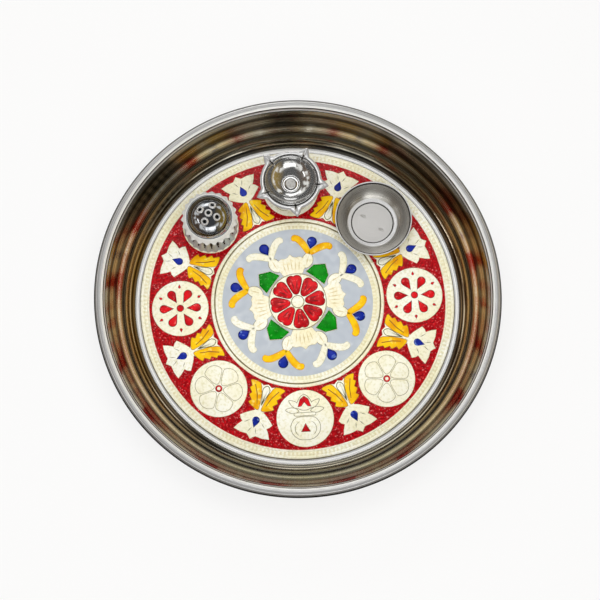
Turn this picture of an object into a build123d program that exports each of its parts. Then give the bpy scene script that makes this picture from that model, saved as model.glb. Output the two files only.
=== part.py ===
from build123d import *
import os
from math import acos, asin, atan2, cos, degrees, hypot, radians, sin, sqrt, tan

os.makedirs("parts", exist_ok=True)

# Puja thali: a steel tray with an enamelled floor, and the lamp, incense stand and bowl that stand in it.
# Millimetres, +Z up. The origin is the middle of the pan's underside, and +Y points at the lamp.

# Pan
PAN_SHEET = 0.8             # thickness of the steel
COVE_W = 11.0               # from the flat floor out to the crease in the wall
COVE_H = 10.0               # from the floor up to the crease
WALL_OUT = 13.5             # from the crease out to the middle of the rolled bead
RIM_BEAD_R = 3.5            # radius of the rolled bead
RIM_ROLL = 285.0            # degrees that the edge is rolled through
TRAY_H = 35.0               # top of the rolled rim

# Relief plate and its enamel
PLATE_CLEAR = 0.6           # between the plate's edge and the start of the cove
PLATE_T = 0.8               # sheet under the relief
RELIEF = 0.7                # height of the raised pattern
ENAMEL_T = 0.4              # depth of enamel in the cells
ENAMEL_GAP = 0.2            # dark line between enamel and metal
CELL_RIM = 0.55             # raised metal edge round a small cell
OUTER_BORDER_W = 6.2        # outer cream border

# Red field: medallions, and a flower between each two
SPOKE_COUNT = 8
MEDALLION_R = 20.0
FIELD_MARGIN = 1.9          # red between a medallion and the borders
FLOWER_HALF_W = 13.0
FLOWER_NEST = 0.5           # how far a medallion's round side reaches in beside the flower
FLOWER_OUT_CLEAR = 2.6      # red between a flower and the outer border
FLOWER_IN_CLEAR = 1.3       # red between a flower and the inner border
FLOWER_DROP_R = 2.7         # round end of the blue drop
FLOWER_DROP_REACH = 5.6
FLOWER_DROP_OUT = 6.1       # from the medallion circle outwards
ROSETTE_COUNT = 6           # drops of the red rosette

# Centre disc, from the middle outwards
CENTRE_TURN = 6.0           # degrees that the centre pattern is turned by
HUB_R = 21.0                # cream disc of the rosette
PETAL_COUNT = 8
PETAL_RIM = 3.6             # cream outside the red petals
PETAL_GAP = 1.7             # cream between two petals
PETAL_POINT_R = 4.9         # where the petals end at the middle
QUARTER_COUNT = 4           # green leaves, and lotus petals between them
LEAF_FOOT_OUT = 0.9         # green leaf, from the hub outwards: its foot, ends, shoulders and point
LEAF_END_OUT = 2.0
LEAF_SHOULDER_OUT = 8.2
LEAF_TIP_OUT = 12.8
LEAF_SHOULDER_TURN = 12.5
LEAF_END_TURN = 19.5
LOTUS_OUT = 13.2            # large cream petal, from the hub to its point
LOTUS_CLEAR = 2.36          # from its widest part to the middle of the small petal beside it
LOTUS_ROOT_IN = 1.6         # of its root, narrower than its widest part
LOTUS_TUCK = 1.0            # of a lotus petal under the hub
BUD_OUT = 4.6               # small cream petal, from the hub to its root
BUD_LENGTH = 10.8
BUD_HALF_W = 3.5
SCROLL_COUNT = 8            # scrolls and buds, every second one yellow
SCROLL_TUCK = 1.0           # of a scroll's stem under the bud
SCROLL_STEM = 2.4           # from the stem to the fork
SCROLL_RISE = 5.0           # from the fork out to the shoulder
SCROLL_DROP_CLEAR = 2.5     # from the blue drop to the shoulder beside it
SCROLL_END_RISE = 1.8       # from the shoulder out to the end
SCROLL_HALF_W = 1.6
SCROLL_CLEAR = 3.5          # from a scroll's end to halfway to the next
CENTRE_DROP_OUT = 3.1       # from the shoulder of a scroll
CENTRE_DROP_R = 3.1
CENTRE_DROP_POINT = 1.9     # of the drop past its round end
CENTRE_MARGIN = 4.5         # grey outside the blue drops

# Five-spout lamp
LAMP_SPOKE = 2              # medallion that it stands on
LAMP_SHEET = 0.8
LAMP_H = 21.5               # top of the lip above the plate
LAMP_DEPTH = 8.6
LAMP_FLOOR_R = 7.1
LAMP_SIDE_OUT = 10.6        # from the flat floor out to the mouth
LAMP_LIP_W = 3.3
SPOUT_COUNT = 5
SPOUT_TURN = 60.5           # direction of the first spout
SPOUT_OUT = 6.5             # past the lip
SPOUT_TUCK = 2.1            # inside the mouth
SPOUT_HALF_W = 5.0
SPOUT_DEPTH = 4.2
SPOUT_WALL = 1.1
SPOUT_NOSE = 0.5            # half width of the blunt tip
LAMP_FOOT_R = 13.6
LAMP_FOOT_EDGE = 0.9        # upright edge of the foot
LAMP_FOOT_HOLLOW = 2.6      # how far the foot's side curves in
RIVET_R = 1.5
RIVET_CLEAR = 0.2
RIVET_HEAD_R = 4.8
RIVET_HEAD_H = 1.3
RIVET_TAIL_R = 2.8
RIVET_TAIL_H = 1.0

# Incense stand
STAND_SPOKE = 3             # medallion that it stands on
STAND_SHEET = 0.8
CAP_LEDGE_Z = 24.0          # flat ring between the dome and the skirt
DOME_R = 15.4
DOME_H = 10.0
LEDGE_W = 1.0
SKIRT_OUT = 1.8             # from the ledge out to the skirt's edge
SKIRT_DROP = 6.0
SCALLOP_COUNT = 22
SCALLOP_NOTCH_R = 1.1
STAND_WALL_IN = 0.1         # of the cup's wall inside the dome's edge
STAND_FLARE_Z = 14.0        # where the wall starts to flare out to the foot
STAND_FOOT_OUT = 1.2        # of the foot outside the wall
STICK_R = 1.6               # hole for an incense stick
COLLAR_W = 1.3              # raised collar round a hole
COLLAR_H = 0.7
STICK_CIRCLE_R = 6.5        # four holes round the middle one
SIDE_STICK_COUNT = 4
STICK_TURN = 63.0

# Offering bowl
BOWL_SPOKE = 1              # medallion that it stands on
BOWL_IN = 4.1               # from the middle of that medallion inwards
BOWL_TURN = -1.3            # degrees, to the side
BOWL_SHEET = 0.7
BOWL_H = 12.6
BOWL_FLOOR_R = 14.3
BOWL_STEP_H = 0.5           # small step round the floor
BOWL_COVE_W = 3.4           # sloped ring from the floor to the wall
BOWL_COVE_H = 0.9
BOWL_WALL_OUT = 8.9         # from that ring out to the rim
DENT_COUNT = 2              # small dents in the floor
DENT_OUT = 8.2
DENT_TURN = -41.5
DENT_BALL_R = 6.0
DENT_DEPTH = 0.3

# Heights and radii that follow: the centre disc, the red field, and the pan round them
petal_pitch = sin(radians(180 / PETAL_COUNT))
petal_r = ((HUB_R - PETAL_RIM) * petal_pitch - PETAL_GAP / 2) / (1 + petal_pitch)
petal_circle_r = HUB_R - PETAL_RIM - petal_r
lotus_middle_r = HUB_R + LOTUS_OUT / 2
lotus_half_w = lotus_middle_r * sin(radians(180 / SCROLL_COUNT)) - LOTUS_CLEAR
bud_root_r = HUB_R + BUD_OUT
bud_tip_r = bud_root_r + BUD_LENGTH
scroll_stem_r = bud_tip_r - SCROLL_TUCK
scroll_fork_r = scroll_stem_r + SCROLL_STEM
scroll_shoulder_r = scroll_fork_r + SCROLL_RISE
scroll_end_r = scroll_shoulder_r + SCROLL_END_RISE
scroll_span = scroll_end_r * tan(radians(180 / SCROLL_COUNT)) - SCROLL_HALF_W - SCROLL_CLEAR
scroll_shoulder_span = CENTRE_DROP_R + SCROLL_DROP_CLEAR
centre_drop_circle_r = scroll_shoulder_r + CENTRE_DROP_OUT
grey_r = centre_drop_circle_r + CENTRE_DROP_R + CENTRE_MARGIN
spoke_step = 360 / SPOKE_COUNT
spoke_pitch = MEDALLION_R + FLOWER_HALF_W - FLOWER_NEST
medallion_circle_r = spoke_pitch / (2 * sin(radians(spoke_step / 4)))
field_half_w = MEDALLION_R + FIELD_MARGIN
red_in_r = medallion_circle_r - field_half_w
red_out_r = medallion_circle_r + field_half_w
plate_r = red_out_r + OUTER_BORDER_W
floor_r = plate_r + PLATE_CLEAR
crease_r = floor_r + COVE_W
crease_z = PAN_SHEET + COVE_H
cell_z = PAN_SHEET + PLATE_T
seat_z = cell_z + RELIEF


def polar(radius, angle):
    """Point at a radius and an angle in degrees."""
    return (radius * cos(radians(angle)), radius * sin(radians(angle)))


def turned(shape, count, start=0.0):
    """Copies of a shape spaced evenly round the Z axis."""
    return [Rot(0, 0, start + 360 * i / count) * shape for i in range(count)]


def mirrored(half):
    """Closed face from one half of an outline, whose ends lie on the X axis."""
    other = [(x, -y) for x, y in reversed(half) if y]
    return make_face(Polyline(*half, *other, close=True))


def drop(round_r, reach):
    """Drop with its round end about the origin and its point at +X."""
    touch = polar(round_r, degrees(acos(round_r / reach)))
    below = (touch[0], -touch[1])
    tip = (reach, 0)
    return make_face([Line(tip, touch), ThreePointArc(touch, (-round_r, 0), below), Line(below, tip)])


def round_side(start, end):
    """Arc between two points of a section, about a centre on the axis, so that it turns into a ball."""
    centre = (end[0]**2 + end[1]**2 - start[0]**2 - start[1]**2) / (2 * (end[1] - start[1]))
    radius = hypot(start[0], start[1] - centre)
    middle = (atan2(start[1] - centre, start[0]) + atan2(end[1] - centre, end[0])) / 2
    return ThreePointArc(start, (radius * cos(middle), centre + radius * sin(middle)), end)


def sheet_of_revolution(path, thickness, side):
    """Pressed sheet: one face of it runs along the path, and the other lies on the given side."""
    section = make_face(offset(path, thickness, side=side, closed=True).edges())
    return revolve(Plane.XZ * section, Axis.Z)


def fills(cells):
    """Enamel in each cell, a gap inside its edge."""
    return [Pos(0, 0, cell_z) * extrude(offset(cell, -ENAMEL_GAP), ENAMEL_T) for cell in cells]


# Pan: floor, cove up to the crease, straight flared wall, and the edge rolled outwards over a bead
bead = Vector(crease_r + WALL_OUT, TRAY_H - RIM_BEAD_R)
bead_away = hypot(bead.X - crease_r, bead.Y - crease_z)
wall_angle = degrees(atan2(bead.Y - crease_z, bead.X - crease_r) + asin(RIM_BEAD_R / bead_away))
wall_length = sqrt(bead_away**2 - RIM_BEAD_R**2)
floor_line = Line((0, PAN_SHEET), (floor_r, PAN_SHEET))
cove = TangentArc((floor_r, PAN_SHEET), (crease_r, crease_z), tangent=(1, 0))
wall = PolarLine((crease_r, crease_z), wall_length, wall_angle)
roll = CenterArc(bead, RIM_BEAD_R, wall_angle + 90, -RIM_ROLL)
tray_pan = sheet_of_revolution(Wire([floor_line, cove, wall, roll]), PAN_SHEET, Side.RIGHT)

# Border flower, X outwards from the medallion circle, drawn in shares of its reach and half width:
# three upper points, two lower ones and a neck, then two serrated leaves with a plain leaf between them
flower_shares = [
    (1, 0), (0.84, 0.26), (0.81, 1), (0.415, 0.66), (0.3, 0.875), (0.05, 0.46), (-0.03, 0.23),
    (-0.225, 0.725), (-0.32, 0.615), (-0.465, 0.815), (-0.555, 0.71), (-0.7, 0.91), (-0.775, 0.815),
    (-0.94, 0.97), (-1, 0.86), (-0.99, 0.46), (-0.915, 0.23), (-0.99, 0),
]
leaf_shares = [
    (-0.08, 0.17), (-0.24, 0.625), (-0.325, 0.53), (-0.48, 0.725), (-0.565, 0.625), (-0.71, 0.81),
    (-0.79, 0.725), (-0.935, 0.885), (-0.955, 0.54), (-0.51, 0.23), (-0.165, 0.09),
]
flower_out = field_half_w - FLOWER_OUT_CLEAR
flower_in = field_half_w - FLOWER_IN_CLEAR


def flower_points(shares):
    """Points of the border flower from their shares."""
    return [(x * (flower_out if x > 0 else flower_in), y * FLOWER_HALF_W) for x, y in shares]


flower_turn = spoke_step / 2
flower_pad = Pos(medallion_circle_r, 0) * mirrored(flower_points(flower_shares))
left_leaf = Pos(medallion_circle_r, 0) * make_face(Polyline(*flower_points(leaf_shares), close=True))
right_leaf = mirror(left_leaf, Plane.XZ)
flower_drop = Pos(medallion_circle_r + FLOWER_DROP_OUT, 0) * drop(FLOWER_DROP_R, FLOWER_DROP_REACH)

# Medallions: a red ring in five of them, a pot's chevron and triangle in the lower one,
# and a rosette of drops in the two at the sides, all drawn in shares of the medallion's radius
medallion = Pos(medallion_circle_r, 0) * Circle(MEDALLION_R)


def mark(shape):
    """A mark drawn on a medallion of unit radius, at its real size."""
    return scale(shape, MEDALLION_R)


mark_ring = mark(Circle(0.115) - Circle(0.055))
chevron = mark(mirrored([(-0.78, 0), (-0.68, 0.145), (-0.42, 0.235), (-0.42, 0.145), (-0.59, 0)]))
triangle = mark(mirrored([(0.17, 0), (0.5, 0.18), (0.5, 0)]))
rosette_drop = mark(Pos(0.53, 0) * Rot(0, 0, 180) * drop(0.115, 0.28))
rosette = [mark_ring, *turned(rosette_drop, ROSETTE_COUNT)]
marks_of_spoke = {
    0: rosette, 1: [mark_ring], 2: [mark_ring], 3: [mark_ring],
    4: rosette, 5: [mark_ring], 6: [chevron, triangle], 7: [mark_ring],
}
marks = [
    Rot(0, 0, spoke_step * spoke) * Pos(medallion_circle_r, 0) * shape
    for spoke, shapes in marks_of_spoke.items()
    for shape in shapes
]

# Centre disc: red petals on a cream hub, green leaves and cream lotus petals round it, then scrolls
petal = Pos(petal_circle_r, 0) * Rot(0, 0, 180) * drop(petal_r, petal_circle_r - PETAL_POINT_R)
petals = turned(petal, PETAL_COUNT, CENTRE_TURN)
leaf_end = polar(HUB_R + LEAF_END_OUT, LEAF_END_TURN)
leaf_shoulder = polar(HUB_R + LEAF_SHOULDER_OUT, LEAF_SHOULDER_TURN)
leaf_edge = Polyline(leaf_end, leaf_shoulder, (HUB_R + LEAF_TIP_OUT, 0))
leaf_foot = ThreePointArc(leaf_end, (HUB_R + LEAF_FOOT_OUT, 0), (leaf_end[0], -leaf_end[1]))
green_cell = make_face([*leaf_edge.edges(), *mirror(leaf_edge, Plane.XZ).edges(), leaf_foot])
green_turn = CENTRE_TURN + 180 / QUARTER_COUNT
green_cells = turned(green_cell, QUARTER_COUNT, green_turn)
lotus_root = (HUB_R - LOTUS_TUCK, lotus_half_w - LOTUS_ROOT_IN)
lotus_side = ThreePointArc(lotus_root, (lotus_middle_r, lotus_half_w), (HUB_R + LOTUS_OUT, 0))
lotus_foot = Line(lotus_root, (lotus_root[0], -lotus_root[1]))
lotus = make_face([lotus_side, mirror(lotus_side, Plane.XZ), lotus_foot])
bud_side = ThreePointArc((bud_root_r, 0), ((bud_root_r + bud_tip_r) / 2, BUD_HALF_W), (bud_tip_r, 0))
bud = make_face([bud_side, mirror(bud_side, Plane.XZ)])
scroll_outer = ThreePointArc(
    (scroll_fork_r, 0),
    (scroll_shoulder_r + SCROLL_HALF_W, scroll_shoulder_span),
    (scroll_end_r + SCROLL_HALF_W, scroll_span),
)
scroll_end = ThreePointArc(
    scroll_outer @ 1,
    (scroll_end_r, scroll_span + SCROLL_HALF_W),
    (scroll_end_r - SCROLL_HALF_W, scroll_span),
)
scroll_inner = ThreePointArc(
    scroll_end @ 1,
    (scroll_shoulder_r - SCROLL_HALF_W, scroll_shoulder_span + SCROLL_HALF_W),
    (scroll_stem_r, 0),
)
scroll_stem = Line((scroll_stem_r, 0), (scroll_fork_r, 0))
scroll_half = make_face([scroll_outer, scroll_end, scroll_inner, scroll_stem])
scroll = scroll_half + mirror(scroll_half, Plane.XZ)
scroll_cell = offset(scroll_half, -CELL_RIM)
centre_drop_reach = CENTRE_DROP_R + CENTRE_DROP_POINT
centre_drop = Pos(centre_drop_circle_r, 0) * Rot(0, 0, 180) * drop(CENTRE_DROP_R, centre_drop_reach)
scroll_turn = CENTRE_TURN + 180 / SCROLL_COUNT
yellow_turn = scroll_turn + 360 / SCROLL_COUNT
other_cell = mirror(scroll_cell, Plane.XZ)
yellow_pairs = SCROLL_COUNT // 2
yellow_cells = turned(scroll_cell, yellow_pairs, yellow_turn) + turned(other_cell, yellow_pairs, yellow_turn)
centre_drops = turned(centre_drop, SCROLL_COUNT, scroll_turn)

# Relief plate: everything that stands up, less the cells that hold enamel
flower_pads = turned(flower_pad, SPOKE_COUNT, flower_turn)
medallions = turned(medallion, SPOKE_COUNT)
flower_drops = turned(flower_drop, SPOKE_COUNT, flower_turn)
leaf_cells = turned(left_leaf, SPOKE_COUNT, flower_turn) + turned(right_leaf, SPOKE_COUNT, flower_turn)
centre_pads = [
    *turned(offset(green_cell, CELL_RIM), QUARTER_COUNT, green_turn),
    *turned(lotus, QUARTER_COUNT, CENTRE_TURN),
    *turned(bud, SCROLL_COUNT, scroll_turn),
    *turned(scroll, SCROLL_COUNT, scroll_turn),
    *turned(offset(centre_drop, CELL_RIM), SCROLL_COUNT, scroll_turn),
]
borders = [Circle(plate_r) - Circle(red_out_r), Circle(red_in_r) - Circle(grey_r)]
raised = Sketch() + [*borders, Circle(HUB_R), *medallions, *flower_pads, *centre_pads]
raised -= [*flower_drops, *leaf_cells, *marks, *petals, *green_cells, *yellow_cells, *centre_drops]
plate_base = Pos(0, 0, PAN_SHEET) * extrude(Circle(plate_r), PLATE_T)
relief_plate = plate_base + Pos(0, 0, cell_z) * extrude(raised, RELIEF)

# Enamel grounds: the red field and the centre disc, less the pattern that stands through them
red_field = Circle(red_out_r - ENAMEL_GAP) - Circle(red_in_r + ENAMEL_GAP)
red_field -= turned(Pos(medallion_circle_r, 0) * Circle(MEDALLION_R + ENAMEL_GAP), SPOKE_COUNT)
red_field -= turned(offset(flower_pad, ENAMEL_GAP), SPOKE_COUNT, flower_turn)
red_ground = Pos(0, 0, cell_z) * extrude(red_field, ENAMEL_T)
grey_field = Circle(grey_r - ENAMEL_GAP) - Circle(HUB_R + ENAMEL_GAP)
grey_field -= [
    *turned(offset(green_cell, CELL_RIM + ENAMEL_GAP), QUARTER_COUNT, green_turn),
    *turned(offset(lotus, ENAMEL_GAP), QUARTER_COUNT, CENTRE_TURN),
    *turned(offset(bud, ENAMEL_GAP), SCROLL_COUNT, scroll_turn),
    *turned(offset(scroll, ENAMEL_GAP), SCROLL_COUNT, scroll_turn),
    *turned(offset(centre_drop, CELL_RIM + ENAMEL_GAP), SCROLL_COUNT, scroll_turn),
]
grey_ground = Pos(0, 0, cell_z) * extrude(grey_field, ENAMEL_T)

# Lamp bowl: flat floor, round side, flat lip, and five pinched spouts open to the bowl
lamp_place = Pos(*polar(medallion_circle_r, spoke_step * LAMP_SPOKE), seat_z)
lamp_floor_z = LAMP_H - LAMP_DEPTH
lamp_mouth_r = LAMP_FLOOR_R + LAMP_SIDE_OUT
lamp_lip_r = lamp_mouth_r + LAMP_LIP_W
rivet_hole_r = RIVET_R + RIVET_CLEAR
lamp_floor = Line((rivet_hole_r, lamp_floor_z), (LAMP_FLOOR_R, lamp_floor_z))
lamp_side = round_side((LAMP_FLOOR_R, lamp_floor_z), (lamp_mouth_r, LAMP_H))
lamp_lip = Line((lamp_mouth_r, LAMP_H), (lamp_lip_r, LAMP_H))
lamp_shell = sheet_of_revolution(Wire([lamp_floor, lamp_side, lamp_lip]), LAMP_SHEET, Side.RIGHT)
cavity_edge = [
    Line((0, lamp_floor_z), (LAMP_FLOOR_R, lamp_floor_z)), lamp_side,
    Line((lamp_mouth_r, LAMP_H), (0, LAMP_H)), Line((0, LAMP_H), (0, lamp_floor_z)),
]
lamp_cavity = revolve(Plane.XZ * make_face(cavity_edge), Axis.Z)


def spout_section(radius, half_w, depth):
    """V section of a spout, square to its length."""
    points = [(-half_w, LAMP_H), (half_w, LAMP_H), (0, LAMP_H - depth)]
    return Plane.YZ.offset(radius) * make_face(Polyline(*points, close=True))


spout = loft([
    spout_section(lamp_mouth_r - SPOUT_TUCK, SPOUT_HALF_W, SPOUT_DEPTH),
    spout_section(lamp_lip_r + SPOUT_OUT, SPOUT_NOSE, SPOUT_NOSE),
])
channel = Pos(-SPOUT_WALL, 0, SPOUT_WALL) * spout
lamp_bowl = lamp_shell + [part - lamp_cavity for part in turned(spout, SPOUT_COUNT, SPOUT_TURN)]
lamp_bowl -= turned(channel, SPOUT_COUNT, SPOUT_TURN)
diya_bowl = lamp_place * lamp_bowl

# Lamp foot: pressed pedestal, hollow below, with a flat top under the bowl
foot_top_z = lamp_floor_z - LAMP_SHEET
foot_top = Line((rivet_hole_r, foot_top_z), (LAMP_FLOOR_R, foot_top_z))
foot_side = SagittaArc((LAMP_FLOOR_R, foot_top_z), (LAMP_FOOT_R, LAMP_FOOT_EDGE), -LAMP_FOOT_HOLLOW)
foot_edge = Line((LAMP_FOOT_R, LAMP_FOOT_EDGE), (LAMP_FOOT_R, 0))
diya_foot = lamp_place * sheet_of_revolution(Wire([foot_top, foot_side, foot_edge]), LAMP_SHEET, Side.RIGHT)

# Rivet that holds the lamp bowl to its foot: domed head, shank and clenched tail
grip_z = foot_top_z - LAMP_SHEET
rivet_dome = round_side((RIVET_HEAD_R, lamp_floor_z), (0, lamp_floor_z + RIVET_HEAD_H))
rivet_body = Polyline(
    (0, lamp_floor_z + RIVET_HEAD_H), (0, grip_z - RIVET_TAIL_H), (RIVET_TAIL_R, grip_z - RIVET_TAIL_H),
    (RIVET_TAIL_R, grip_z), (RIVET_R, grip_z), (RIVET_R, lamp_floor_z), (RIVET_HEAD_R, lamp_floor_z),
)
diya_rivet = lamp_place * revolve(Plane.XZ * make_face([rivet_dome, *rivet_body.edges()]), Axis.Z)

# Incense stand base: a cup whose top edge carries the cap
stand_place = Pos(*polar(medallion_circle_r, spoke_step * STAND_SPOKE), seat_z)
cup_top_z = CAP_LEDGE_Z - STAND_SHEET
cup_wall_r = DOME_R - STAND_WALL_IN
cup_foot_r = cup_wall_r + STAND_FOOT_OUT
skirt_r = DOME_R + LEDGE_W + SKIRT_OUT
cup_foot = Line((0, 0), (cup_foot_r - STAND_SHEET, 0))
cup_corner = ThreePointArc(
    (cup_foot_r - STAND_SHEET, 0),
    (cup_foot_r - STAND_SHEET * (1 - cos(radians(45))), STAND_SHEET * (1 - cos(radians(45)))),
    (cup_foot_r, STAND_SHEET),
)
cup_flare = TangentArc((cup_wall_r, STAND_FLARE_Z), (cup_foot_r, STAND_SHEET), tangent=(0, -1))
cup_wall = Line((cup_wall_r, STAND_FLARE_Z), (cup_wall_r, cup_top_z))
cup_path = Wire([cup_foot, cup_corner, cup_flare, cup_wall])
incense_base = stand_place * sheet_of_revolution(cup_path, STAND_SHEET, Side.LEFT)

# Incense cap: dome with five collared stick holes, flat ledge, and a flared skirt with a scalloped edge
dome_ball_r = (DOME_R**2 + DOME_H**2) / (2 * DOME_H)
dome_ball_z = CAP_LEDGE_Z + DOME_H - dome_ball_r
dome_arc = round_side((0, CAP_LEDGE_Z + DOME_H), (DOME_R, CAP_LEDGE_Z))
ledge = Line((DOME_R, CAP_LEDGE_Z), (DOME_R + LEDGE_W, CAP_LEDGE_Z))
skirt = Line((DOME_R + LEDGE_W, CAP_LEDGE_Z), (skirt_r, CAP_LEDGE_Z - SKIRT_DROP))
cap = sheet_of_revolution(Wire([dome_arc, ledge, skirt]), STAND_SHEET, Side.RIGHT)
notch_length = 2 * (skirt_r - cup_wall_r)
notch_place = Pos(skirt_r, 0, CAP_LEDGE_Z - SKIRT_DROP) * Rot(0, 90, 0)
notch = notch_place * Cylinder(SCALLOP_NOTCH_R, notch_length)
cap -= turned(notch, SCALLOP_COUNT)
stick_tilt = degrees(asin(STICK_CIRCLE_R / dome_ball_r))
collar_top = dome_ball_r + COLLAR_H
collar_foot = dome_ball_r - STAND_SHEET
up = (Align.CENTER, Align.CENTER, Align.MIN)
collar = Pos(0, 0, collar_foot) * Cylinder(STICK_R + COLLAR_W, collar_top - collar_foot, align=up)
stick_hole = Pos(0, 0, collar_foot / 2) * Cylinder(STICK_R, dome_ball_r, align=up)
dome_inside = Sphere(dome_ball_r - STAND_SHEET)
hole_turns = [Rot(0, 0, 0), *turned(Rot(0, stick_tilt, 0), SIDE_STICK_COUNT, STICK_TURN)]
dome_centre = Pos(0, 0, dome_ball_z)
cap += [dome_centre * (turn * collar - dome_inside) for turn in hole_turns]
cap -= [dome_centre * turn * stick_hole for turn in hole_turns]
incense_cap = stand_place * cap

# Offering bowl: stepped floor, cove and flared wall, with two small dents in the floor
bowl_place = Pos(*polar(medallion_circle_r - BOWL_IN, spoke_step * BOWL_SPOKE + BOWL_TURN), seat_z)
bowl_cove_r = BOWL_FLOOR_R + BOWL_COVE_W
bowl_mouth_r = bowl_cove_r + BOWL_WALL_OUT - BOWL_SHEET
bowl_floor = Line((0, BOWL_SHEET), (BOWL_FLOOR_R, BOWL_SHEET))
bowl_step = Line((BOWL_FLOOR_R, BOWL_SHEET), (BOWL_FLOOR_R + BOWL_STEP_H, BOWL_SHEET + BOWL_STEP_H))
bowl_cove_z = BOWL_SHEET + BOWL_STEP_H + BOWL_COVE_H
bowl_cove = Line(bowl_step @ 1, (bowl_cove_r, bowl_cove_z))
bowl_wall = round_side((bowl_cove_r, bowl_cove_z), (bowl_mouth_r, BOWL_H))
bowl_path = Wire([bowl_floor, bowl_step, bowl_cove, bowl_wall])
bowl = sheet_of_revolution(bowl_path, BOWL_SHEET, Side.RIGHT)
dent = Pos(DENT_OUT, 0, BOWL_SHEET + DENT_BALL_R - DENT_DEPTH) * Sphere(DENT_BALL_R)
bowl -= turned(dent, DENT_COUNT, DENT_TURN)
offering_bowl = bowl_place * bowl

# Nodes
nodes = {
    "tray_pan": [tray_pan],
    "relief_plate": [relief_plate],
    "red_ground": [red_ground],
    "grey_ground": [grey_ground],
    "red_petals": fills(petals),
    "green_leaves": fills(green_cells),
    "yellow_scrolls": fills(yellow_cells),
    "blue_centre_drops": fills(centre_drops),
    "blue_flower_drops": fills(flower_drops),
    "yellow_flower_leaves": fills(leaf_cells),
    "red_medallion_marks": fills(marks),
    "diya_bowl": [diya_bowl],
    "diya_foot": [diya_foot],
    "diya_rivet": [diya_rivet],
    "incense_cap": [incense_cap],
    "incense_base": [incense_base],
    "offering_bowl": [offering_bowl],
}
for name, shapes in nodes.items():
    solids = [solid for shape in shapes for solid in shape.solids()]
    export_step(Compound(children=solids), f"parts/{name}.step")
    print(name, len(solids), "solids", round(sum(solid.volume for solid in solids), 1), "mm3")
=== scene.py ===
from math import acos, atan2, cos, degrees, hypot, pi, radians, sin

import bmesh
import bpy
from mathutils import Matrix, Vector, noise


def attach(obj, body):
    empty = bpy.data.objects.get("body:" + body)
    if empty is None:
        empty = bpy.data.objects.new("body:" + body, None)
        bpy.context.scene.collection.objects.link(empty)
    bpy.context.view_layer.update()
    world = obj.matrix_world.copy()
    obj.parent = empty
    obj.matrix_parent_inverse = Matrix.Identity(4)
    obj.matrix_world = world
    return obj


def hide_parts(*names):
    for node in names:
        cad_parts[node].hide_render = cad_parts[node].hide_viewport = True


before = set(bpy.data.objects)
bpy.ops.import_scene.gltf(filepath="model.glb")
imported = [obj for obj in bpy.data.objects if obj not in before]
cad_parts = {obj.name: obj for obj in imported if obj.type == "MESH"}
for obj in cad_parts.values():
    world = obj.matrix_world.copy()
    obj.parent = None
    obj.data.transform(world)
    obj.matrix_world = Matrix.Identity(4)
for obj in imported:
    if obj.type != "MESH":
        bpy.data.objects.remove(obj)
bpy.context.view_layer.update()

# Sizes in millimetres, as in the solids
MM = 0.001
PAN_FLOOR_R = 111.995
CREASE_R, CREASE_Z = 122.995, 10.8
BEAD_R = 3.5
BEAD_MIDDLE = (136.495, 31.5)
SHEET = 0.8
GREY_R, RED_IN, RED_OUT, PLATE_R = 53.5, 61.4, 105.2, 111.4
SPOKE_R = 83.295
CELL_Z, DETAIL_Z = 1.6, 2.05
HUB_R = 21.0
PATTERN_TURN = 6.0
SCROLL_TURN = 28.5
LEAF_TURN = 51.0
SPOUT_STEP = 72
FLUTE_COUNT = 22
LAMP_PLACE = (0.0, SPOKE_R, 2.3)
STAND_PLACE = (SPOKE_R * cos(radians(135)), SPOKE_R * sin(radians(135)), 2.3)
BOWL_PLACE = (79.195 * cos(radians(43.7)), 79.195 * sin(radians(43.7)), 2.3)


# ---------------------------------------------------------------- finishes

def tint(red, green, blue):
    """Colour as seen on a screen, 0 to 255, in the renderer's own terms."""
    shares = [value / 255 for value in (red, green, blue)]
    return tuple(s / 12.92 if s <= 0.04045 else ((s + 0.055) / 1.055) ** 2.4 for s in shares) + (1.0,)


def feed(tree, socket, value):
    """Links a socket to another, or sets it."""
    if isinstance(value, bpy.types.NodeSocket):
        tree.links.new(value, socket)
    else:
        socket.default_value = value


def node(tree, kind, inputs=None, **settings):
    """Adds a node, with its settings and inputs."""
    made = tree.nodes.new(kind)
    for key, value in settings.items():
        setattr(made, key, value)
    for key, value in (inputs or {}).items():
        feed(tree, made.inputs[key], value)
    return made


def blend(tree, share, first, second):
    """Mixes two colours by a share."""
    made = node(tree, "ShaderNodeMix", data_type="RGBA")
    for slot, value in ((0, share), (6, first), (7, second)):
        feed(tree, made.inputs[slot], value)
    return made.outputs[2]


def ranged(tree, value, low, high, to_low, to_high):
    """Maps one range of values onto another."""
    inputs = {"Value": value, "From Min": low, "From Max": high, "To Min": to_low, "To Max": to_high}
    return node(tree, "ShaderNodeMapRange", inputs).outputs["Result"]


def speckle(tree, where, scale, detail=2.0, dimensions="3D"):
    """Noise pattern."""
    vector = "W" if dimensions == "1D" else "Vector"
    inputs = {vector: where, "Scale": scale, "Detail": detail}
    return node(tree, "ShaderNodeTexNoise", inputs, noise_dimensions=dimensions).outputs[0]


def dimpled(tree, height, strength, distance, under=None):
    """Bump from a height pattern, over another bump or none; the distance is in millimetres."""
    made = node(tree, "ShaderNodeBump", {"Height": height, "Strength": strength, "Distance": distance * MM})
    if under:
        feed(tree, made.inputs["Normal"], under)
    return made.outputs[0]


def new_finish(name):
    """Material with its node tree, its shader and the place on the object."""
    finish = bpy.data.materials.new(name)
    finish.use_nodes = True
    tree = finish.node_tree
    place = node(tree, "ShaderNodeTexCoord").outputs["Object"]
    return finish, tree, tree.nodes["Principled BSDF"], place


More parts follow.
